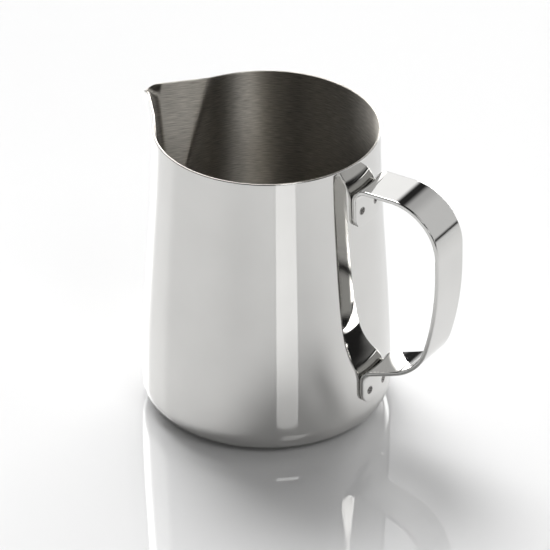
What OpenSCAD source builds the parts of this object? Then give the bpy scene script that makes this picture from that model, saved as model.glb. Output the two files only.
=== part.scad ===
// Steaming pitcher: a drawn steel vessel with a pressed V spout, and a strap handle spot-welded to its wall.
// Millimetres, +Z up. The origin is on the vessel's axis, at the underside of the base.
// The handle is on the +X side, and the spout is close to opposite it.

/* [Vessel] */
// Height from the underside of the base to the rim
body_h = 110; // [90:1:140]
// Outer radius of the wall just above the base corner
base_r = 44.3; // [40:0.1:50]
// Outer radius of the wall at the rim
rim_r = 40.4; // [36:0.1:44]
// Outer radius of the rounded corner between base and wall
corner_r = 9.4; // [5:0.1:14]
// Thickness of the drawn sheet
sheet_t = 0.8; // [0.6:0.1:1.2]

/* [Spout] */
// Direction of the spout, turned from the handle
spout_azimuth = 176; // [170:0.5:190]
// Reach of the V's sharp corner from the vessel's axis, at rim height
spout_reach = 52.6; // [49:0.1:55]
// Height at which the V's sharp corner leaves the wall
spout_foot_z = 45; // [35:1:60]
// Half the angle between the two spout panels, square to the V's corner line
spout_half_angle = 47.8; // [42:0.1:52]
// Outer radius of the rounded nose between the panels
nose_r = 5; // [4:0.1:6]
// Outer radius of the bend that rolls the drip lip outward
lip_bend_r = 5; // [4:0.1:6]
// Angle at which the drip lip leans out from the V's corner line where its roll starts
lip_lean = 29; // [20:1:40]
// Angle through which the drip lip is rolled after that
lip_turn = 36; // [30:1:50]
// Distance below the rim, along the V's corner line, at which the roll starts
lip_start = 5; // [4.5:0.1:7]
// Slope of the dipped rim across the drip lip, from the level
lip_dip_angle = 34; // [25:1:40]

/* [Handle] */
// Width of the strap
strap_w = 17; // [13:0.5:20]
// Thickness of the strap
strap_t = 1.6; // [1.2:0.1:2]
// Height of the strap's mid line along the upper arm
upper_arm_z = 100.4; // [98:0.1:102]
// Reach of the grip's mid line from the vessel's axis
grip_reach = 74.8; // [70:0.1:80]
// Height of the gentle knee where the grip starts to lean in
knee_z = 60; // [55:1:66]
// Reach of the sharp corner under the grip, before it is rounded
heel_reach = 67.8; // [64:0.1:70]
// Height of the sharp corner under the grip, before it is rounded
heel_z = 34; // [32:0.5:38]
// Height at which the lower arm's mid line would meet the vessel's wall
lower_arm_z = 25.8; // [24.5:0.1:27]
// Inner radius of the corner of the strap above the grip
shoulder_r = 18.4; // [14:0.1:22]
// Radius of the rounded corners at the ends of the tabs
tab_corner_r = 4; // [1:0.5:6]
// Height of the lower end of the upper tab
upper_tab_z = 84.5; // [80:0.1:86]
// Height of the lower end of the lower tab
lower_tab_z = 13.6; // [12:0.1:15]

/* [Spot welds] */
// Diameter of a weld nugget
nugget_d = 3; // [2:0.1:4]
// Depth of the electrode's dimple in the face of a nugget
dimple_depth = 0.5; // [0.2:0.1:0.7]
// Distance between the two nuggets of a tab, along the wall
weld_spacing = 9; // [7:0.5:10]
// Height of the upper tab's nuggets
upper_weld_z = 90.7; // [89:0.1:92]
// Height of the lower tab's nuggets
lower_weld_z = 18; // [17.5:0.1:19]

/* [Hidden] */

// Curves
$fn = 96;
wall_steps = 16;
corner_steps = 6;
nose_steps = 8;
bend_steps = 8;
tab_steps = 4;
// Largest turn between two neighbouring points on the strap's large bends
arc_step = 3;
// How far cutting and joining solids run on past the edge they meet
overrun = 1;

// Spout frame: its Z runs up the V's corner line, and its +X points out of the vessel
spout_foot_r = wall_r(spout_foot_z);
spout_rise = body_h - spout_foot_z;
spout_tilt = atan((spout_reach - spout_foot_r) / spout_rise);
spout_len = spout_rise / cos(spout_tilt);
spout_back = 21;
spout_inner_back = 40;
spout_below_foot = 12;
spout_above_rim = 10;
// How far the roll's waist is sunk into the nose, so that the two surfaces cross cleanly
lip_sink = 0.2;
lip_cut_size = 60;

// Handle
tab_bend_r = 3.7;
knee_r = 110;
heel_r = 20;
// Length of the straight stretch above each tab's bend
arm_stub = 3;
// Half the angle, about the vessel's axis, that the tabs are made from
tab_swing = 20;
// Width of the ring left round each electrode dimple
dimple_rim = 0.2;
// Distance between the flat lower arm and the stub that it runs into, where the two are closest
arm_step = 0.12;
lower_arm_r = wall_r(lower_arm_z);
lower_slope = atan((heel_z - lower_arm_z) / (heel_reach - lower_arm_r));
strap_start_r = wall_r(upper_arm_z) + strap_t + tab_bend_r + arm_stub / 2;
strap_end_r = lower_arm_r + strap_t + tab_bend_r;
strap_end_z = lower_arm_z + (strap_end_r - lower_arm_r) * tan(lower_slope);
strap_path = [
    [strap_start_r, upper_arm_z],
    [grip_reach, upper_arm_z],
    [grip_reach, knee_z],
    [heel_reach, heel_z],
    [strap_end_r, strap_end_z - arm_step]
];
strap_radii = [0, shoulder_r + strap_t / 2, knee_r, heel_r, 0];

function wall_r(z) =
    base_r - (base_r - rim_r) * (1 - cos(180 * (z - corner_r) / (body_h - corner_r))) / 2;

// Outline of the solid of revolution that lies the distance "skin" inside the outer surface
function vessel_outline(skin, top_z) =
    let (r = corner_r - skin)
    concat(
        [[0, skin]],
        [for (i = [0:corner_steps])
            let (a = 90 * i / corner_steps)
            [base_r - corner_r + r * sin(a), corner_r - r * cos(a)]],
        [for (i = [1:wall_steps])
            let (z = corner_r + (body_h - corner_r) * i / wall_steps)
            [wall_r(z) - skin, z]],
        [[wall_r(body_h) - skin, top_z], [0, top_z]]
    );

module vessel_solid(skin, top_z) {
    rotate_extrude()
        polygon(vessel_outline(skin, top_z));
}

// Cross-section of the V, square to its corner line, the distance "skin" inside the outer surface
function spout_section(skin, back) =
    let (
        half = spout_half_angle,
        nose_x = -nose_r / sin(half),
        r = nose_r - skin,
        sweep = 90 - half,
        side = [nose_x + r * cos(sweep), r * sin(sweep)],
        corner = [-back, side[1] + (side[0] + back) * tan(half)]
    )
    concat(
        [[-spout_inner_back, 0], [corner[0], -corner[1]]],
        [for (i = [0:nose_steps])
            let (a = -sweep + 2 * sweep * i / nose_steps)
            [nose_x + r * cos(a), r * sin(a)]],
        [corner]
    );

// The rolled lip's solid about the nose's axis: a waist that opens out by an arc
module lip_solid(skin) {
    waist = nose_r - skin - lip_sink;
    bend = lip_bend_r + skin;
    rotate_extrude()
        polygon(concat(
            [[0, -overrun], [waist, -overrun]],
            [for (i = [0:bend_steps])
                let (a = lip_turn * i / bend_steps)
                [waist + bend * (1 - cos(a)), bend * sin(a)]],
            [[0, bend * sin(lip_turn)]]
        ));
}

// Everything the spout adds, on the +X side, as one solid
module spout_solid(skin) {
    nose_x = -nose_r / sin(spout_half_angle);
    translate([spout_foot_r, 0, spout_foot_z])
        rotate([0, spout_tilt, 0]) {
            translate([0, 0, -spout_below_foot])
                linear_extrude(spout_below_foot + spout_len + spout_above_rim)
                    polygon(spout_section(skin, spout_back));
            translate([nose_x + nose_r - lip_sink, 0, spout_len - lip_start])
                rotate([0, lip_lean, 0])
                    translate([-(nose_r - lip_sink), 0, 0])
                        lip_solid(skin);
        }
}

// The space above the rim, with the dip across the drip lip
module above_rim() {
    rise = lip_bend_r * sin(lip_turn);
    reach = lip_bend_r * (1 - cos(lip_turn));
    waist_x = nose_r - nose_r / sin(spout_half_angle) - lip_sink;
    lip_edge_x = waist_x + reach * cos(lip_lean) + rise * sin(lip_lean);
    lip_edge_l = spout_len - lip_start + rise * cos(lip_lean) - reach * sin(lip_lean);
    lip_edge_r = spout_foot_r + lip_edge_l * sin(spout_tilt) + lip_edge_x * cos(spout_tilt);
    lip_edge_z = spout_foot_z + lip_edge_l * cos(spout_tilt) - lip_edge_x * sin(spout_tilt);
    translate([-lip_cut_size, -lip_cut_size, body_h])
        cube([2 * lip_cut_size, 2 * lip_cut_size, lip_cut_size]);
    translate([lip_edge_r, -lip_cut_size / 2, lip_edge_z])
        rotate([0, lip_dip_angle, 0])
            translate([-lip_cut_size / 2, 0, 0])
                cube([lip_cut_size, lip_cut_size, lip_cut_size]);
}

module vessel() {
    color("gainsboro")
        rotate([0, 0, spout_azimuth])
            difference() {
                union() {
                    vessel_solid(0, body_h);
                    spout_solid(0);
                }
                vessel_solid(sheet_t, body_h + spout_above_rim);
                spout_solid(sheet_t);
                above_rim();
            }
}

function unit(v) = v / norm(v);
function left_of(v) = [-v[1], v[0]];

// Arc that rounds corner i of a path, moved sideways by "off" to the left of the direction of travel
function rounded_corner(path, radii, i, off) =
    let (
        b = path[i],
        r = radii[i],
        u = unit(path[i - 1] - b),
        v = unit(path[i + 1] - b),
        half = acos(u * v) / 2,
        centre = b + unit(u + v) * r / sin(half),
        side = sign(cross(-u, v)),
        start = b + u * r / tan(half) - centre,
        from = atan2(start[1], start[0]),
        sweep = side * (180 - 2 * half),
        steps = ceil(abs(sweep) / arc_step)
    )
    [for (k = [0:steps])
        let (a = from + sweep * k / steps)
        centre + (r - side * off) * [cos(a), sin(a)]];

// One side of a strip that follows the rounded path
function strip_side(path, radii, off) =
    let (last = len(path) - 1)
    concat(
        [path[0] + off * left_of(unit(path[1] - path[0]))],
        [for (i = [1:last - 1]) each rounded_corner(path, radii, i, off)],
        [path[last] + off * left_of(unit(path[last] - path[last - 1]))]
    );

function reversed(list) = [for (i = [len(list) - 1:-1:0]) list[i]];

// The flat bar's bent length, seen from the side
module strap_loop() {
    outline = concat(
        strip_side(strap_path, strap_radii, strap_t / 2),
        reversed(strip_side(strap_path, strap_radii, -strap_t / 2))
    );
    rotate([90, 0, 0])
        linear_extrude(strap_w, center = true)
            polygon(outline);
}

// A layer of the strap's thickness, lying on the outside of the wall
module wall_layer() {
    difference() {
        vessel_solid(-strap_t, body_h);
        vessel_solid(0, body_h + overrun);
    }
}

// A ring whose section is a tab lying on the wall, its bend, and the start of an arm rising outward at "slope"
module tab_ring(foot_z, arm_z, slope) {
    // Heights at which the arm's mid line leaves the bend and the bend leaves the wall
    r = tab_bend_r + strap_t / 2;
    bend_z = arm_z + r * (tan(slope) - 1 / cos(slope));
    turn = 90 - slope;
    bend_r = wall_r(bend_z) + strap_t + tab_bend_r;
    wall_heights = [for (i = [0:tab_steps]) foot_z + (bend_z - foot_z) * i / tab_steps];
    arc = [for (i = [0:bend_steps]) 180 - turn * i / bend_steps];
    stub = arm_stub * [cos(slope), sin(slope)];
    under = [for (a = arc) [bend_r, bend_z] + tab_bend_r * [cos(a), sin(a)]];
    over = [for (a = arc) [bend_r, bend_z] + (tab_bend_r + strap_t) * [cos(a), sin(a)]];
    rotate([0, 0, -tab_swing])
        rotate_extrude(angle = 2 * tab_swing)
            polygon(concat(
                [for (z = wall_heights) [wall_r(z), z]],
                over,
                [over[bend_steps] + stub, under[bend_steps] + stub],
                reversed(under),
                [for (z = reversed(wall_heights)) [wall_r(z) + strap_t, z]]
            ));
}

// The strap's outline at a tab, with the two lower corners rounded, extended outward along +X
module tab_shape(foot_z) {
    half = strap_w / 2;
    r = tab_corner_r;
    corners = concat(
        [for (i = [0:corner_steps])
            let (a = 180 + 90 * i / corner_steps)
            [-half + r + r * cos(a), foot_z + r + r * sin(a)]],
        [for (i = [0:corner_steps])
            let (a = 270 + 90 * i / corner_steps)
            [half - r + r * cos(a), foot_z + r + r * sin(a)]],
        [[half, body_h], [-half, body_h]]
    );
    rotate([90, 0, 90])
        linear_extrude(grip_reach)
            polygon(corners);
}

module tab(foot_z, arm_z, slope) {
    intersection() {
        tab_ring(foot_z - overrun, arm_z, slope);
        tab_shape(foot_z);
    }
}

// Round bars that stand square to the wall at a tab's two welds
module weld_bars(z) {
    swing = asin(weld_spacing / 2 / wall_r(z));
    for (side = [-1, 1])
        rotate([0, 0, side * swing])
            translate([wall_r(z) - strap_t, 0, z])
                rotate([0, 90, 0])
                    cylinder(d = nugget_d, h = 3 * strap_t);
}

// The balls that leave the electrode's dimples in the outer faces of a tab's nuggets
module weld_dimples(z) {
    swing = asin(weld_spacing / 2 / wall_r(z));
    half = nugget_d / 2 - dimple_rim;
    ball_r = (half * half + dimple_depth * dimple_depth) / (2 * dimple_depth);
    for (side = [-1, 1])
        rotate([0, 0, side * swing])
            translate([wall_r(z) + strap_t - dimple_depth + ball_r, 0, z])
                sphere(r = ball_r);
}

module spot_welds(z) {
    difference() {
        intersection() {
            wall_layer();
            weld_bars(z);
        }
        weld_dimples(z);
    }
}

module handle() {
    color("silver")
        difference() {
            union() {
                strap_loop();
                tab(upper_tab_z, upper_arm_z, 0);
                tab(lower_tab_z, lower_arm_z, lower_slope);
            }
            weld_bars(upper_weld_z);
            weld_bars(lower_weld_z);
        }
}

module upper_spot_welds() {
    color("darkgray")
        spot_welds(upper_weld_z);
}

module lower_spot_welds() {
    color("darkgray")
        spot_welds(lower_weld_z);
}

vessel();
handle();
upper_spot_welds();
lower_spot_welds();
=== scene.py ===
"""Milk frothing pitcher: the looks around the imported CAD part. Metres, in the part's own frame."""
import math

import bpy
import numpy as np
from mathutils import Matrix, Vector


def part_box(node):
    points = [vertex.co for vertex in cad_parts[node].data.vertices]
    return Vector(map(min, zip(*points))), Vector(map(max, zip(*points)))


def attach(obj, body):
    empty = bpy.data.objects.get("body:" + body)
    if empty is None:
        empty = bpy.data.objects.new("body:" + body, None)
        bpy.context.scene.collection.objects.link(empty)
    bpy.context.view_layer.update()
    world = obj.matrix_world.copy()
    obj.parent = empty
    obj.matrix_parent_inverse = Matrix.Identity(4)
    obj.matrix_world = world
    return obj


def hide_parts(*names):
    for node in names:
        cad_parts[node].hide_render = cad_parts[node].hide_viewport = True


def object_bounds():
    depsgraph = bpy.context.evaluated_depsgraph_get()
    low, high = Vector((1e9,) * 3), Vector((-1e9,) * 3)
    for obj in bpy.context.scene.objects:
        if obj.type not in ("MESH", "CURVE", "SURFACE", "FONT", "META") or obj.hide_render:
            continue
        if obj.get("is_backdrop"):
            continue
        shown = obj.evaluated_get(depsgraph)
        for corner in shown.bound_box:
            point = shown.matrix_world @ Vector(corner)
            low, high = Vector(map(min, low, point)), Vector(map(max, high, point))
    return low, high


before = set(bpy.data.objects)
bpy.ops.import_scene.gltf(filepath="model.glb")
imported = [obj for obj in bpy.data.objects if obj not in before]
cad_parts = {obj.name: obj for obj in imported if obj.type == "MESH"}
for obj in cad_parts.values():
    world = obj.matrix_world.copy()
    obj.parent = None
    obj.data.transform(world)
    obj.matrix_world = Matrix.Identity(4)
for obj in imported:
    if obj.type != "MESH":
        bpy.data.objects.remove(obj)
cad_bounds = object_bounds()

MM = 0.001

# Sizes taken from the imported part
SKIN_MARGIN = 0.004 * MM  # softening the creases swells the wall by a little less than this
vessel_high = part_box("vessel")[1]
handle_low, handle_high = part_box("handle")
HEIGHT = vessel_high.z
BASE_R = vessel_high.y - SKIN_MARGIN
STRAP_HALF = handle_high.y
STRAP_TOP_Z = handle_high.z
STRAP_REACH = handle_high.x
STRAP_FOOT_Z = handle_low.z

# Vessel
RIM_R = 40.4 * MM
CORNER_R = 9.4 * MM
SHEET = 0.8 * MM
CREASE_SOFTNESS = 0.7 * MM
RIM_SETBACK = 0.05 * MM

# Spout
SPOUT_AZIMUTH = math.radians(176)
SPOUT_REACH = 52.6 * MM
SPOUT_FOOT_Z = 45 * MM
SPOUT_HALF_ANGLE = math.radians(47.5)
NOSE_R = 5 * MM
LIP_START = 6.6 * MM
LIP_LENGTH = 5 * MM
LIP_TURN = math.radians(49)
LIP_HALF_WIDTH = 5.6 * MM
LIP_FADE = 5  # how steeply the roll fades out towards the sides of the spout
PANEL_PINCH = 0.03  # metres per radian by which the panels draw in past the square-on direction

# Handle
STRAP_T = 1.6 * MM
STRAP_EDGE_R = 0.4 * MM
TAB_BEND_R = 4.5 * MM
SHOULDER_R = 19.2 * MM
KNEE_Z = 60 * MM
KNEE_R = 110 * MM
HEEL = (67.8 * MM, 34 * MM)
HEEL_R = 20 * MM
LOWER_ARM_Z = 25.8 * MM
UPPER_TAB_Z = 84.5 * MM
TAB_CORNER_R = 4 * MM
WALL_GAP = 0.03 * MM
ARM_FADE = 9 * MM  # length of each arm over which the strap stops following the wall
TAB_ZONE = 16 * MM  # length of finer mesh at each end
FLAT_POINTS = 57  # mesh points across each broad side

# Welds
WELD_R = 1.5 * MM
WELD_SPACING = 9 * MM
UPPER_WELD_Z = 90.7 * MM
LOWER_WELD_Z = 18 * MM
WELD_SECTORS = 32
WELD_LIFT = 0.03 * MM
DIMPLE_DEPTH = 0.5 * MM
DIMPLE_WIDTH = 0.62  # widths as shares of WELD_R
DIMPLE_SKIRT = 0.1 * MM
DIMPLE_SKIRT_WIDTH = 1.5


def wall_radius(z):
    share = (z - CORNER_R) / (HEIGHT - CORNER_R)
    return BASE_R - (BASE_R - RIM_R) * (1 - np.cos(np.pi * share)) / 2


FOOT_R = float(wall_radius(SPOUT_FOOT_Z))


def nose_centre(z):
    corner = FOOT_R + (SPOUT_REACH - FOOT_R) * (z - SPOUT_FOOT_Z) / (HEIGHT - SPOUT_FOOT_Z)
    return corner, corner - NOSE_R / math.sin(SPOUT_HALF_ANGLE)


def body_radius(phi, z):
    """Radius of the outer surface at the angle phi from the spout, with the creases softened."""
    wall = wall_radius(z)
    corner, centre = nose_centre(z)
    side = np.abs(phi)
    square_on = math.pi / 2 - SPOUT_HALF_ANGLE
    panel = corner * math.sin(SPOUT_HALF_ANGLE) / np.sin(np.minimum(side, square_on) + SPOUT_HALF_ANGLE)
    panel = panel - np.maximum(side - square_on, 0) * PANEL_PINCH
    reach = centre + NOSE_R * math.sin(SPOUT_HALF_ANGLE)
    nose_end = np.arctan2(NOSE_R * math.cos(SPOUT_HALF_ANGLE), reach)
    chord = np.maximum(NOSE_R**2 - (centre * np.sin(side)) ** 2, 0)
    nose = centre * np.cos(side) + np.sqrt(chord)
    pressed = np.where(side < nose_end, nose, panel)
    return (wall + pressed + np.sqrt((wall - pressed) ** 2 + CREASE_SOFTNESS**2)) / 2


def make_object(name, verts, faces, uvs=None, slots=None):
    mesh = bpy.data.meshes.new(name)
    mesh.from_pydata([tuple(v) for v in verts], [], faces)
    mesh.update()
    if uvs is not None:
        layer = mesh.uv_layers.new(name="along")
        layer.data.foreach_set("uv", np.asarray(uvs, np.float32).ravel())
    if slots is not None:
        mesh.polygons.foreach_set("material_index", np.asarray(slots, np.int32))
    mesh.polygons.foreach_set("use_smooth", np.ones(len(mesh.polygons), bool))
    obj = bpy.data.objects.new(name, mesh)
    bpy.context.scene.collection.objects.link(obj)
    return obj


def spout_angles():
    """Column angles from the spout: close together across the spout, further apart round the back."""
    steps = [0.0]
    while steps[-1] < 180:
        a = steps[-1]
        steps.append(a + (0.3 if a < 10 else 0.4 if a < 34 else 1.2))
    half = np.array(steps) * 180 / steps[-1]
    return np.radians(np.concatenate([half, -half[-2:0:-1]]))


def vessel_skin():
    """The column angles, and rows of outer points from the middle of the base up to the rim."""
    phi = spout_angles()
    rows = []
    for r in np.linspace(1.5 * MM, BASE_R - CORNER_R, 12)[:-1]:
        rows.append(np.stack([np.full_like(phi, r), phi * 0], -1))
    for a in np.radians(np.linspace(0, 90, 19))[:-1]:
        r = BASE_R - CORNER_R + CORNER_R * math.sin(a)
        rows.append(np.stack([np.full_like(phi, r), phi * 0 + CORNER_R * (1 - math.cos(a))], -1))
    lip_z = HEIGHT - LIP_START
    for z in np.linspace(CORNER_R, lip_z, 110):
        rows.append(np.stack([body_radius(phi, z), phi * 0 + z], -1))
    rows = np.array(rows)
    points = np.stack([rows[..., 0] * np.cos(phi), rows[..., 0] * np.sin(phi), rows[..., 1]], -1)
    # The lip's rows: straight up beside the spout, rolled outward across its nose
    rim_z = HEIGHT - SHEET / 2 - RIM_SETBACK
    start = points[-1]
    top_r = body_radius(phi, rim_z)
    top = np.stack([top_r * np.cos(phi), top_r * np.sin(phi), phi * 0 + rim_z], -1)
    straight = top - start
    length = np.linalg.norm(straight, axis=1)
    tangent = straight / length[:, None]
    centre = nose_centre(lip_z)[1]
    out = start - np.array([centre, 0, lip_z])
    square_on = math.pi / 2 - SPOUT_HALF_ANGLE
    angle = np.clip(np.arctan2(out[:, 1], out[:, 0]), -square_on, square_on)
    normal = np.stack([np.cos(angle), np.sin(angle), 0 * angle], -1)
    normal -= tangent * np.sum(normal * tangent, 1)[:, None]
    normal /= np.linalg.norm(normal, axis=1)[:, None]
    share = np.clip(start[:, 1] / LIP_HALF_WIDTH, -1, 1)
    weight = np.where(np.cos(phi) > 0, (1 - share**2) ** LIP_FADE, 0)
    turn = np.maximum(weight * LIP_TURN, 1e-4)
    arc = length * (1 - weight) + (LIP_LENGTH - SHEET / 2) * weight
    lip = []
    for q in np.linspace(0, 1, 15)[1:]:
        a = turn * q
        bend = arc / turn
        rise = tangent * (bend * np.sin(a))[:, None]
        lip.append(start + rise + normal * (bend * (1 - np.cos(a)))[:, None])
    return phi, np.concatenate([points, np.array(lip)])


def grid_normals(points):
    """Outward normals of a closed ring grid, rows from the base's middle to the rim."""
    across = np.roll(points, -1, axis=1) - np.roll(points, 1, axis=1)
    along = np.gradient(points, axis=0)
    n = np.cross(across, along)
    return n / np.linalg.norm(n, axis=2, keepdims=True)


def vessel_shell():
    phi, outer = vessel_skin()
    normals = grid_normals(outer)
    inner = outer - normals * SHEET
    edge_up = outer[-1] - outer[-2]
    edge_up /= np.linalg.norm(edge_up, axis=1)[:, None]
    middle = (outer[-1] + inner[-1]) / 2
    edge = [
        middle + (outer[-1] - middle) * math.cos(a) + edge_up * SHEET / 2 * math.sin(a)
        for a in np.radians(np.linspace(0, 180, 9))[1:-1]
    ]
    rows = np.concatenate([outer, np.array(edge), inner[::-1]])
    turn = SPOUT_AZIMUTH
    x = rows[..., 0] * math.cos(turn) - rows[..., 1] * math.sin(turn)
    y = rows[..., 0] * math.sin(turn) + rows[..., 1] * math.cos(turn)
    rows = np.stack([x, y, rows[..., 2]], -1)
    n, m = rows.shape[:2]
    verts = rows.reshape(-1, 3).tolist()
    along = np.concatenate([[0], np.cumsum(np.linalg.norm(np.diff(rows[:, m // 2], axis=0), axis=1))])
    around = np.concatenate([np.mod(phi, 2 * math.pi), [2 * math.pi]]) * BASE_R
    faces = []
    uvs = []
    slots = []
    outside = len(outer) + 1
    for i in range(n - 1):
        for j in range(m):
            k = (j + 1) % m
            faces.append((i * m + j, i * m + k, (i + 1) * m + k, (i + 1) * m + j))
            u0, u1 = around[j], around[j + 1]
            uvs += [(u0, along[i]), (u1, along[i]), (u1, along[i + 1]), (u0, along[i + 1])]
            slots.append(0 if i < outside else 1)
    for ring, z, flip, slot in ((0, 0.0, False, 0), (n - 1, SHEET, True, 1)):
        pole = len(verts)
        verts.append((0.0, 0.0, z))
        for j in range(m):
            k = (j + 1) % m
            a, b = ring * m + j, ring * m + k
            faces.append((b, a, pole) if not flip else (a, b, pole))
            uvs += [(0, 0), (0.001, 0), (0, 0.001)]
            slots.append(slot)
    return make_object("vessel_shell", verts, faces, uvs, slots)


class StrapPath:
    """The strap's mid line in the plane through the vessel's axis: straight stretches joined by arcs."""

    def __init__(self, corners, radii):
        self.parts = []
        at = np.array(corners[0], float)
        for i in range(1, len(corners) - 1):
            b = np.array(corners[i], float)
            u = (np.array(corners[i - 1]) - b) / np.linalg.norm(np.array(corners[i - 1]) - b)
            v = (np.array(corners[i + 1]) - b) / np.linalg.norm(np.array(corners[i + 1]) - b)
            half = math.acos(float(u @ v)) / 2
            cut = radii[i] / math.tan(half)
            centre = b + (u + v) / np.linalg.norm(u + v) * radii[i] / math.sin(half)
            side = math.copysign(1, -u[0] * v[1] + u[1] * v[0])
            begin = b + u * cut
            self.parts.append(("line", at, -u, float(np.linalg.norm(begin - at))))
            start = begin - centre
            sweep = (math.atan2(start[1], start[0]), side, radii[i])
            self.parts.append(("arc", centre, sweep, radii[i] * (math.pi - 2 * half)))
            at = b + v * cut
        last = np.array(corners[-1], float)
        d = last - at
        self.parts.append(("line", at, d / np.linalg.norm(d), float(np.linalg.norm(d))))
        self.ends = np.cumsum([p[3] for p in self.parts])
        self.length = float(self.ends[-1])

    def at(self, s):
        """Point and unit tangent at the distance s along the path; it runs straight on past both ends."""
        i = int(min(np.searchsorted(self.ends, s), len(self.parts) - 1))
        kind, a, b, length = self.parts[i]
        d = s - (self.ends[i] - length)
        if kind == "line":
            return a + b * d, b
        angle, side, r = b
        t = angle + side * d / r
        return a + r * np.array([math.cos(t), math.sin(t)]), side * np.array([-math.sin(t), math.cos(t)])


def strap_path():
    t = STRAP_T / 2 + WALL_GAP
    upper_z = STRAP_TOP_Z - STRAP_T / 2
    reach = STRAP_REACH - STRAP_T / 2
    corners = [
        (float(wall_radius(UPPER_TAB_Z)) + t, UPPER_TAB_Z),
        (float(wall_radius(upper_z - TAB_BEND_R)) + t, upper_z),
        (reach, upper_z),
        (reach, KNEE_Z),
        HEEL,
        (float(wall_radius(LOWER_ARM_Z - TAB_BEND_R)) + t, LOWER_ARM_Z),
        (float(wall_radius(STRAP_FOOT_Z)) + t, STRAP_FOOT_Z),
    ]
    return StrapPath(corners, [0, TAB_BEND_R, SHOULDER_R, KNEE_R, HEEL_R, TAB_BEND_R, 0])


PATH = strap_path()
BEND_ENDS = (PATH.ends[1], PATH.ends[-3])


def follow_wall(s):
    """1 where the strap lies round the wall, fading to 0 along each arm."""
    d = min(max(s - BEND_ENDS[0], 0), max(BEND_ENDS[1] - s, 0))
    x = min(d / ARM_FADE, 1)
    return 1 - x * x * (3 - 2 * x)


def weld_places():
    """Distance along the path, distance across and facing side of each nugget, upper pair first."""
    upper = UPPER_WELD_Z - UPPER_TAB_Z
    lower = PATH.length - (LOWER_WELD_Z - STRAP_FOOT_Z)
    half = WELD_SPACING / 2
    return [(upper, -half, 1), (upper, half, 1), (lower, -half, -1), (lower, half, -1)]


def crater(s, v, side):
    """Depth of the dimples the electrodes leave in one side of the strap."""
    depth = 0.0
    for ws, wv, weld_side in weld_places():
        r = math.hypot(s - ws, v - wv)
        if weld_side == side and r < 4 * WELD_R:
            depth += DIMPLE_DEPTH * math.exp(-((r / (DIMPLE_WIDTH * WELD_R)) ** 2))
            depth += DIMPLE_SKIRT * math.exp(-((r / (DIMPLE_SKIRT_WIDTH * WELD_R)) ** 2))
    return depth


def strap_point(s, v, n):
    """The point at distance s along the strap, v across it and n out from its mid surface."""
    p, t = PATH.at(s)
    follow = follow_wall(s)
    r = p[0]
    swing = math.asin(v / r)
    back = (r - math.sqrt(r * r - v * v)) * follow
    normal = np.array([t[1], -t[0]])
    x = p[0] - back + normal[0] * n * (1 + follow * (math.cos(swing) - 1))
    y = v + normal[0] * n * follow * math.sin(swing)
    return (x, y, p[1] + normal[1] * n)


def strap_section(half, q, e):
    """(across, out) pairs round the strap's section, with rounded edges."""
    loop = []
    flat = np.linspace(-(half - e), half - e, FLAT_POINTS)
    loop += [(v, q) for v in flat]
    loop += [(half - e + e * math.sin(a), q - e + e * math.cos(a)) for a in np.radians([30, 60, 90])]
    loop += [(half - e + e * math.cos(a), -q + e - e * math.sin(a)) for a in np.radians([0, 30, 60])]
    loop += [(v, -q) for v in flat[::-1]]
    loop += [(-half + e - e * math.sin(a), -q + e - e * math.cos(a)) for a in np.radians([30, 60, 90])]
    loop += [(-half + e - e * math.cos(a), q - e + e * math.sin(a)) for a in np.radians([0, 30, 60])]
    return loop


def strap_half(d):
    """Half the strap's width at the distance d from its end, with the corners rounded."""
    r = TAB_CORNER_R
    if d >= r:
        return STRAP_HALF
    return STRAP_HALF - r + math.sqrt(max(r * r - (r - d) ** 2, 0))


def handle_strap():
    """The whole strap: rounded rings along the path, closed at both ends by quads and two edge caps."""
    e = STRAP_EDGE_R
    q = STRAP_T / 2
    stations = []
    for a in np.radians([90, 65, 40, 20]):
        stations.append((e * (1 - math.sin(a)), e * (1 - math.cos(a))))
    d = e
    while d < TAB_ZONE:
        stations.append((d, 0.0))
        d += 0.12 * MM if d < 1.5 * MM else 0.28 * MM
    first = [(s, s, shrink) for s, shrink in stations]
    last = [(PATH.length - s, s, shrink) for s, shrink in reversed(stations)]
    body = np.linspace(TAB_ZONE, PATH.length - TAB_ZONE, 300)
    rings = first + [(s, 1.0, 0.0) for s in body] + last
    verts = []
    count = len(strap_section(STRAP_HALF, q, e))
    for s, d, shrink in rings:
        half = strap_half(d) - shrink
        for v, n in strap_section(half, q - shrink, max(e - shrink, 0.02 * MM)):
            side = 1 if n > 0 else -1
            verts.append(strap_point(s, v, n - side * crater(s, v, side)))
    faces = []
    uvs = []
    along = [s for s, _, _ in rings]
    across = np.linspace(0, 4 * STRAP_HALF, count + 1)
    for i in range(len(rings) - 1):
        for j in range(count):
            k = (j + 1) % count
            faces.append((i * count + j, (i + 1) * count + j, (i + 1) * count + k, i * count + k))
            u0, u1, w0, w1 = across[j], across[j + 1], along[i], along[i + 1]
            uvs += [(w0, u0), (w1, u0), (w1, u1), (w0, u1)]
    for ring, flip in ((0, False), (len(rings) - 1, True)):
        ids = [ring * count + j for j in range(count)]
        side = FLAT_POINTS + 3
        top = ids[:FLAT_POINTS]
        low = ids[side + 3 : side + 3 + FLAT_POINTS][::-1]
        for j in range(FLAT_POINTS - 1):
            quad = (top[j], top[j + 1], low[j + 1], low[j])
            faces.append(quad if not flip else quad[::-1])
            uvs += [(0, 0)] * 4
        right = ids[FLAT_POINTS - 1 : side + 4]
        left = ids[side + 2 + FLAT_POINTS :] + ids[:1]
        for cap in (right, left):
            faces.append(tuple(cap) if not flip else tuple(cap[::-1]))
            uvs += [(0, 0)] * len(cap)
    return make_object("handle_strap", verts, faces, uvs)


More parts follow.
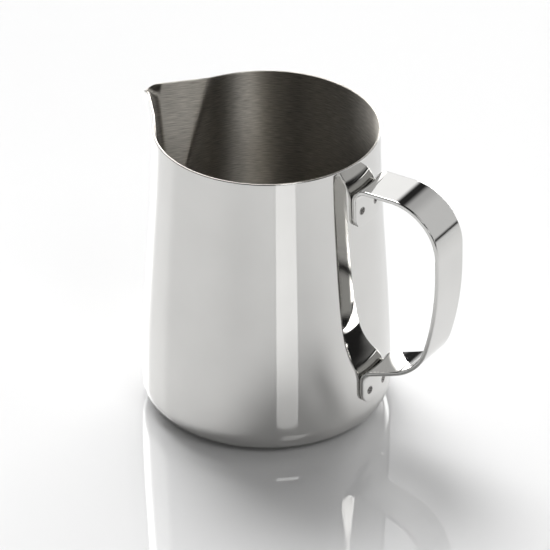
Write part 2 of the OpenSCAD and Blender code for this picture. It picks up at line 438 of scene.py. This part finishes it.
def weld_pair(name, places):
    """Two concave weld faces, seated in the dimples."""
    verts = []
    faces = []
    q = STRAP_T / 2
    for s, v, side in places:
        rings = []
        for r in np.linspace(0.12, 1, 9) * WELD_R:
            rings.append((r, WELD_LIFT if r < 0.97 * WELD_R else WELD_LIFT / 2))
        rings.append((WELD_R * 1.03, -0.05 * MM))
        rings.append((WELD_R * 1.0, -0.3 * MM))
        base = len(verts)
        for r, lift in rings:
            for k in range(WELD_SECTORS):
                a = 2 * math.pi * k / WELD_SECTORS
                ps, pv = s + r * math.cos(a), v + side * r * math.sin(a)
                verts.append(strap_point(ps, pv, side * (q - crater(ps, pv, side) + lift)))
        for i in range(len(rings) - 1):
            for k in range(WELD_SECTORS):
                m = (k + 1) % WELD_SECTORS
                low, high = base + i * WELD_SECTORS, base + (i + 1) * WELD_SECTORS
                faces.append((low + k, low + m, high + m, high + k))
        top = len(verts)
        verts.append(strap_point(s, v, side * (q - crater(s, v, side) + WELD_LIFT)))
        under = len(verts)
        verts.append(strap_point(s, v, side * (q - crater(s, v, side) - 0.25 * MM)))
        end = base + (len(rings) - 1) * WELD_SECTORS
        for k in range(WELD_SECTORS):
            m = (k + 1) % WELD_SECTORS
            faces.append((base + m, base + k, top))
            faces.append((end + k, end + m, under))
    return make_object(name, verts, faces)


# Colours of the steel, and the part of the noise's range over which they change
VESSEL_COLOR = (0.67, 0.665, 0.65)
HANDLE_COLOR = (0.68, 0.675, 0.66)
BRUSHED_DARK = (0.33, 0.313, 0.285)
BRUSHED_LIGHT = (0.62, 0.592, 0.542)
WELD_COLOR = (0.30, 0.29, 0.28)
WELD_DARK = (0.08, 0.078, 0.075)
WELD_LIGHT = (0.34, 0.33, 0.32)
BRUSHED_ROUGHNESS = 0.42
NOISE_LOW, NOISE_HIGH = 0.3, 0.7


def steel(name, color, roughness, **extra):
    mat = bpy.data.materials.new(name)
    mat.use_nodes = True
    shader = mat.node_tree.nodes["Principled BSDF"]
    shader.inputs["Base Color"].default_value = (*color, 1)
    shader.inputs["Metallic"].default_value = 1
    shader.inputs["Roughness"].default_value = roughness
    for key, value in extra.items():
        shader.inputs[key.replace("_", " ")].default_value = value
    return mat, shader


def link(mat, a, b):
    mat.node_tree.links.new(a, b)


def stretched_noise(mat, scale, detail, coords="UV"):
    """Noise on the mesh's own coordinates, stretched by a scale for each direction."""
    nodes = mat.node_tree.nodes
    source = nodes.new("ShaderNodeTexCoord")
    mapping = nodes.new("ShaderNodeMapping")
    mapping.inputs["Scale"].default_value = scale
    noise = nodes.new("ShaderNodeTexNoise")
    noise.inputs["Scale"].default_value = 1
    noise.inputs["Detail"].default_value = detail
    link(mat, source.outputs[coords], mapping.inputs["Vector"])
    link(mat, mapping.outputs["Vector"], noise.inputs["Vector"])
    return noise


def ramp(mat, source, low, high):
    """A value that rises from low to high over the middle of the noise's range."""
    node = mat.node_tree.nodes.new("ShaderNodeMapRange")
    node.inputs["From Min"].default_value = NOISE_LOW
    node.inputs["From Max"].default_value = NOISE_HIGH
    node.inputs["To Min"].default_value = low
    node.inputs["To Max"].default_value = high
    link(mat, source, node.inputs["Value"])
    return node.outputs["Result"]


def color_ramp(mat, source, low, high):
    """A colour that changes from low to high over the middle of the noise's range."""
    node = mat.node_tree.nodes.new("ShaderNodeValToRGB")
    node.color_ramp.elements[0].position = NOISE_LOW
    node.color_ramp.elements[0].color = (*low, 1)
    node.color_ramp.elements[1].position = NOISE_HIGH
    node.color_ramp.elements[1].color = (*high, 1)
    link(mat, source, node.inputs["Fac"])
    return node.outputs["Color"]


def bump(mat, shader, source, strength, distance):
    node = mat.node_tree.nodes.new("ShaderNodeBump")
    node.inputs["Strength"].default_value = strength
    node.inputs["Distance"].default_value = distance
    link(mat, source, node.inputs["Height"])
    link(mat, node.outputs["Normal"], shader.inputs["Normal"])


def polished_steel(name, color, roughness):
    """Mirror-bright steel with patches of haze, a slightly uneven tone and very fine polishing lines."""
    mat, shader = steel(name, color, roughness)
    haze = stretched_noise(mat, (180, 180, 180), 4, "Object")
    link(mat, ramp(mat, haze.outputs["Fac"], roughness * 0.6, roughness * 1.5), shader.inputs["Roughness"])
    tone = stretched_noise(mat, (60, 60, 60), 3, "Object")
    darker = tuple(c * 0.965 for c in color)
    link(mat, color_ramp(mat, tone.outputs["Fac"], darker, color), shader.inputs["Base Color"])
    polish = stretched_noise(mat, (900, 14000, 1), 2)
    bump(mat, shader, polish.outputs["Fac"], 0.02, 0.00002)
    return mat


def brushed_steel(name):
    """Steel with fine lines running round the vessel, which spread its reflections up and down."""
    mat, shader = steel(name, BRUSHED_LIGHT, BRUSHED_ROUGHNESS, Anisotropic=1.0, Anisotropic_Rotation=0.25)
    lines = stretched_noise(mat, (240, 3000, 1), 4)
    tone = color_ramp(mat, lines.outputs["Fac"], BRUSHED_DARK, BRUSHED_LIGHT)
    link(mat, tone, shader.inputs["Base Color"])
    uneven = ramp(mat, lines.outputs["Fac"], BRUSHED_ROUGHNESS - 0.04, BRUSHED_ROUGHNESS + 0.04)
    link(mat, uneven, shader.inputs["Roughness"])
    bump(mat, shader, lines.outputs["Fac"], 0.25, 0.00004)
    tangent = mat.node_tree.nodes.new("ShaderNodeTangent")
    tangent.direction_type = "UV_MAP"
    tangent.uv_map = "along"
    link(mat, tangent.outputs["Tangent"], shader.inputs["Tangent"])
    return mat


def weld_steel(name):
    """Steel dulled and speckled by the heat of the weld."""
    mat, shader = steel(name, WELD_COLOR, 0.2)
    spots = stretched_noise(mat, (1500, 1500, 1500), 4, "Object")
    link(mat, color_ramp(mat, spots.outputs["Fac"], WELD_DARK, WELD_LIGHT), shader.inputs["Base Color"])
    link(mat, ramp(mat, spots.outputs["Fac"], 0.12, 0.4), shader.inputs["Roughness"])
    bump(mat, shader, spots.outputs["Fac"], 0.3, 0.0001)
    return mat


vessel = vessel_shell()
vessel.data.materials.append(polished_steel("vessel_polished", VESSEL_COLOR, 0.035))
vessel.data.materials.append(brushed_steel("vessel_brushed"))
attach(vessel, "root")
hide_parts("vessel")

handle = handle_strap()
handle.data.materials.append(polished_steel("handle_polished", HANDLE_COLOR, 0.05))
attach(handle, "root")
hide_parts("handle")

places = weld_places()
weld_material = weld_steel("weld_dulled")
for name, pair in (("upper_spot_welds", places[:2]), ("lower_spot_welds", places[2:])):
    welds = weld_pair(name.replace("_spot_welds", "_weld_faces"), pair)
    welds.data.materials.append(weld_material)
    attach(welds, "root")
    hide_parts(name)

# Camera: far away with a long lens, looking down
VIEW_AZIMUTH = math.radians(31)
VIEW_ELEVATION = math.radians(30.8)
VIEW_DISTANCE = 4.74
SENSOR_WIDTH = 36
FOCAL_LENGTH = 874
AIM_RIGHT = 2.99 * MM  # the point aimed at lies this far right of the vessel's middle and below it
AIM_DOWN = 5 * MM
right = Vector((math.cos(VIEW_AZIMUTH), math.sin(VIEW_AZIMUTH), 0))
ahead = Vector((-math.sin(VIEW_AZIMUTH), math.cos(VIEW_AZIMUTH), 0))
back = -ahead * math.cos(VIEW_ELEVATION) + Vector((0, 0, math.sin(VIEW_ELEVATION)))
up = back.cross(right)
camera_data = bpy.data.cameras.new("camera")
camera_data.sensor_width = SENSOR_WIDTH
camera_data.lens = FOCAL_LENGTH
camera_data.clip_end = 50
camera_data.dof.use_dof = False
camera = bpy.data.objects.new("camera", camera_data)
bpy.context.scene.collection.objects.link(camera)
aim = Vector((0, 0, HEIGHT / 2)) + right * AIM_RIGHT - up * AIM_DOWN
camera.matrix_world = Matrix.Translation(aim + back * VIEW_DISTANCE) @ Matrix(
    (right, up, back)
).transposed().to_4x4()
bpy.context.scene.camera = camera
bpy.context.scene.view_settings.view_transform = "Standard"


FLOOR_HALF = 6
FLOOR_DROP = 0.05 * MM
FLOOR_TONE = 0.84


def floor():
    """A plain white glossy floor, a hair below the base so that the two faces don't touch."""
    corners = [(x * FLOOR_HALF, y * FLOOR_HALF, 0) for x, y in ((-1, -1), (1, -1), (1, 1), (-1, 1))]
    obj = make_object("floor", corners, [(0, 1, 2, 3)])
    obj.location.z = -FLOOR_DROP
    mat = bpy.data.materials.new("white_gloss")
    mat.use_nodes = True
    shader = mat.node_tree.nodes["Principled BSDF"]
    shader.inputs["Base Color"].default_value = (FLOOR_TONE, FLOOR_TONE, FLOOR_TONE, 1)
    shader.inputs["Roughness"].default_value = 0.03
    shader.inputs["IOR"].default_value = 1.5
    obj.data.materials.append(mat)
    obj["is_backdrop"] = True


def strip_light(name, turn, heights, half_width, distance, strength):
    """An upright strip of light between two heights, "turn" degrees to the right of straight ahead."""
    a = math.radians(turn)
    toward = ahead * math.cos(a) + right * math.sin(a)
    side = ahead * -math.sin(a) + right * math.cos(a)
    corners = []
    for end, height in ((-1, heights[0]), (1, heights[0]), (1, heights[1]), (-1, heights[1])):
        p = toward * distance + side * end * half_width
        corners.append((p.x, p.y, height))
    obj = make_object(name, corners, [(3, 2, 1, 0)])
    mat = bpy.data.materials.new(name + "_glow")
    mat.use_nodes = True
    nodes = mat.node_tree.nodes
    nodes.clear()
    out = nodes.new("ShaderNodeOutputMaterial")
    glow = nodes.new("ShaderNodeEmission")
    glow.inputs["Strength"].default_value = strength
    link(mat, glow.outputs[0], out.inputs["Surface"])
    obj.data.materials.append(mat)
    obj.visible_camera = False
    obj.visible_shadow = False
    obj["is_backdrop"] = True


class Studio:
    """A dark studio dome with soft glowing areas; the camera itself sees plain white past the floor."""

    def __init__(self):
        self.world = bpy.data.worlds.new("studio")
        self.world.use_nodes = True
        self.tree = self.world.node_tree
        self.tree.nodes.clear()
        coords = self.tree.nodes.new("ShaderNodeTexCoord")
        axes = self.tree.nodes.new("ShaderNodeSeparateXYZ")
        self.tree.links.new(coords.outputs["Generated"], axes.inputs[0])
        self.turn = self.math("ARCTAN2", axes.outputs["Y"], axes.outputs["X"])
        self.rise = self.math("ARCSINE", axes.outputs["Z"])
        self.total = None

    def math(self, operation, *values):
        node = self.tree.nodes.new("ShaderNodeMath")
        node.operation = operation
        for i, value in enumerate(values):
            if isinstance(value, (int, float)):
                node.inputs[i].default_value = value
            else:
                self.tree.links.new(value, node.inputs[i])
        return node.outputs[0]

    def ramp(self, value, start, width):
        """0 below start, rising smoothly to 1 over width; start and width are in degrees."""
        node = self.tree.nodes.new("ShaderNodeMapRange")
        node.interpolation_type = "SMOOTHSTEP"
        node.inputs["From Min"].default_value = math.radians(start)
        node.inputs["From Max"].default_value = math.radians(start + width)
        self.tree.links.new(value, node.inputs["Value"])
        return node.outputs["Result"]

    def glow(self, across, rise, strength, soft, lift):
        """A glowing area between two turns right of straight ahead and two rises, with soft edges."""
        middle = (across[0] + across[1]) / 2
        facing = VIEW_AZIMUTH + math.pi / 2 - math.radians(middle)
        turn = self.math("WRAP", self.math("SUBTRACT", facing, self.turn), math.pi, -math.pi)
        half = (across[1] - across[0]) / 2
        shape = self.ramp(turn, -half - soft[0] / 2, soft[0])
        other_way = self.math("MULTIPLY", turn, -1)
        shape = self.math("MULTIPLY", shape, self.ramp(other_way, -half - soft[1] / 2, soft[1]))
        shape = self.math("MULTIPLY", shape, self.ramp(self.rise, rise[0] - lift[0] / 2, lift[0]))
        sunk = self.math("MULTIPLY", self.rise, -1)
        shape = self.math("MULTIPLY", shape, self.ramp(sunk, -rise[1] - lift[1] / 2, lift[1]))
        light = self.math("MULTIPLY", shape, strength)
        self.total = light if self.total is None else self.math("ADD", self.total, light)

    def finish(self):
        nodes = self.tree.nodes
        glow = nodes.new("ShaderNodeBackground")
        plain = nodes.new("ShaderNodeBackground")
        plain.inputs["Strength"].default_value = 1.0
        path = nodes.new("ShaderNodeLightPath")
        mix = nodes.new("ShaderNodeMixShader")
        out = nodes.new("ShaderNodeOutputWorld")
        self.tree.links.new(self.total, glow.inputs["Strength"])
        self.tree.links.new(path.outputs["Is Camera Ray"], mix.inputs[0])
        self.tree.links.new(glow.outputs[0], mix.inputs[1])
        self.tree.links.new(plain.outputs[0], mix.inputs[2])
        self.tree.links.new(mix.outputs[0], out.inputs[0])
        bpy.context.scene.world = self.world


# The studio's glowing areas. Each has a turn right of straight ahead and a rise, both from and to, then its
# strength and the softness of its sides and of its lower and upper edges. All angles are in degrees.
BACK_LIGHTS = (
    ((-72, -38), (20, 40), 1.7, (14, 14), (24, 14)),
    ((-38, -10), (20, 40), 9.0, (14, 4), (24, 14)),
    ((-10, 9), (14, 50), 1.55, (4, 8), (10, 10)),
    ((-70, -4), (16, 50), 0.8, (80, 4), (16, 16)),
    ((-40, 8), (44, 66), 13.5, (20, 8), (8, 14)),
    ((8, 40), (3, 22), 13, (3, 20), (6, 10)),
)
SIDE_LIGHTS = (
    ((26, 110), (2, 45), 0.85, (12, 40), (4, 20)),
    ((-150, -80), (20, 40), 0.35, (40, 40), (24, 14)),
)
FRONT_LIGHT = ((137, 163), (40, 64), 3.8, (8, 8), (4, 8))
FAINT_LIGHT_ALL_ROUND = ((-180, 180), (-90, 90), 0.03, (10, 10), (10, 10))

floor()
# The bright upright line on the polished wall is this strip's mirror image
strip_light("strip_panel", turn=161.3, heights=(0.33, 0.562), half_width=0.172, distance=1.0, strength=3.0)
studio = Studio()
for across, rise, strength, soft, lift in (*BACK_LIGHTS, *SIDE_LIGHTS, FRONT_LIGHT, FAINT_LIGHT_ALL_ROUND):
    studio.glow(across, rise, strength, soft, lift)
studio.finish()

new_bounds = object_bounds()


def plain(value):
    if isinstance(value, dict):
        return {k: plain(v) for k, v in value.items()}
    if isinstance(value, (list, tuple, Vector, np.ndarray)):
        return [plain(v) for v in value]
    if isinstance(value, (int, float, np.floating)):
        return float(value)
    return value


{"cad": plain(cad_bounds), "visual": plain(new_bounds)}
